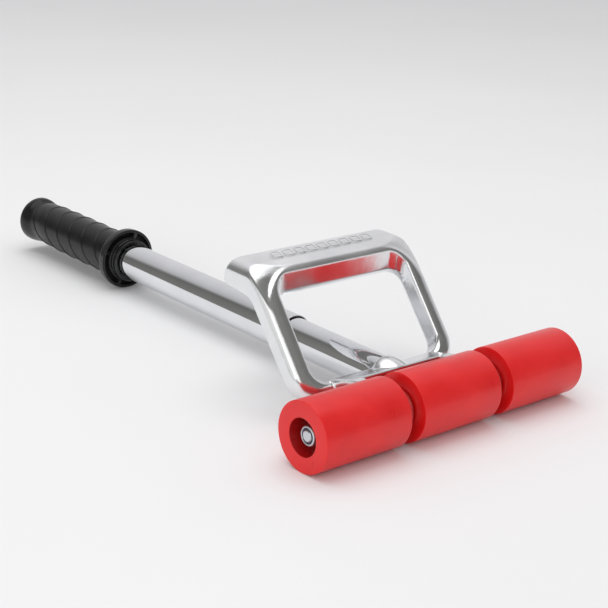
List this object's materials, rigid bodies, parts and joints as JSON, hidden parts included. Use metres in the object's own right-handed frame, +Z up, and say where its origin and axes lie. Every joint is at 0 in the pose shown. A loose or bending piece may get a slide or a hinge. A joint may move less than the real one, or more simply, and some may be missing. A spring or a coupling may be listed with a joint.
{
  "type": "extendable floor roller",
  "caption": "Hand roller for pressing down flooring: three rollers on one axle, a cast D-handle and a telescoping tube with a twist lock and a rubber grip.",
  "frame": {"origin": "middle of the footprint, on the floor that the rollers and the grip's guard rest on", "axes": "+X along the roller axle, +Y from the rollers to the grip's end, +Z up"},
  "size_m": [0.1906, 0.4318, 0.0792],
  "materials": {
    "casting": "polished cast aluminium, satin on the palm bar",
    "roller_polymer": "turned red polymer, semi-matte",
    "bearing_steel": "ground steel",
    "bearing_balls": "polished steel",
    "bearing_shields": "pressed steel",
    "hardware_steel": "zinc plated steel",
    "nut_insert": "dark blue nylon",
    "tube_chrome": "chromed steel tube",
    "lock_plastic": "moulded nylon",
    "bush_plastic": "black acetal",
    "guard_plastic": "glossy black moulding",
    "grip_rubber": "black moulded rubber"
  },
  "bodies": {
    "frame": {"handle_casting": "casting", "palm_marks": "casting", "axle_rod": "hardware_steel", "lock_nuts": "hardware_steel", "nut_inserts": "nut_insert", "nut_washers": "hardware_steel", "leg_washers": "hardware_steel", "bearing_spacers": "hardware_steel", "bearing_inner_races": "bearing_steel", "inner_tube": "tube_chrome", "tube_set_screw": "hardware_steel", "lock_plug": "lock_plastic", "cam_screw": "hardware_steel"},
    "left_roller": {"roller_left": "roller_polymer", "bearing_outer_races_left": "bearing_steel", "bearing_balls_left": "bearing_balls", "bearing_shields_left": "bearing_shields"},
    "middle_roller": {"roller_middle": "roller_polymer", "bearing_outer_races_middle": "bearing_steel", "bearing_balls_middle": "bearing_balls", "bearing_shields_middle": "bearing_shields"},
    "right_roller": {"roller_right": "roller_polymer", "bearing_outer_races_right": "bearing_steel", "bearing_balls_right": "bearing_balls", "bearing_shields_right": "bearing_shields"},
    "drag": {"drag_ring": "lock_plastic"},
    "cam": {"lock_cam": "lock_plastic"},
    "grip": {"outer_tube": "tube_chrome", "guide_bush": "bush_plastic", "end_plug": "bush_plastic", "grip_guard": "guard_plastic", "grip_sleeve": "grip_rubber"}
  },
  "joints": [
    {"name": "left_roller_spin", "type": "hinge", "parent": "frame", "child": "left_roller", "pos_m": [0, -0.19685, 0.01905], "axis": [1, 0, 0], "continuous": true},
    {"name": "middle_roller_spin", "type": "hinge", "parent": "frame", "child": "middle_roller", "pos_m": [0, -0.19685, 0.01905], "axis": [1, 0, 0], "continuous": true},
    {"name": "right_roller_spin", "type": "hinge", "parent": "frame", "child": "right_roller", "pos_m": [0, -0.19685, 0.01905], "axis": [1, 0, 0], "continuous": true},
    {"name": "grip_twist", "type": "hinge", "parent": "frame", "child": "drag", "pos_m": [0, -0.19685, 0.01673], "axis": [0, 0.9999, 0.0113], "range_deg": [-30, 30]},
    {"name": "grip_slide", "type": "slide", "parent": "drag", "child": "grip", "axis": [0, 0.9999, 0.0113], "range_m": [0, 0.24]},
    {"name": "cam_turn", "type": "hinge", "parent": "frame", "child": "cam", "pos_m": [0, -0.19686, 0.01753], "axis": [0, 0.9999, 0.0113], "range_deg": [-30, 30]}
  ],
  "couplings": [
    {"joint": "cam_turn", "follows": "grip_twist", "ratio": 1}
  ]
}
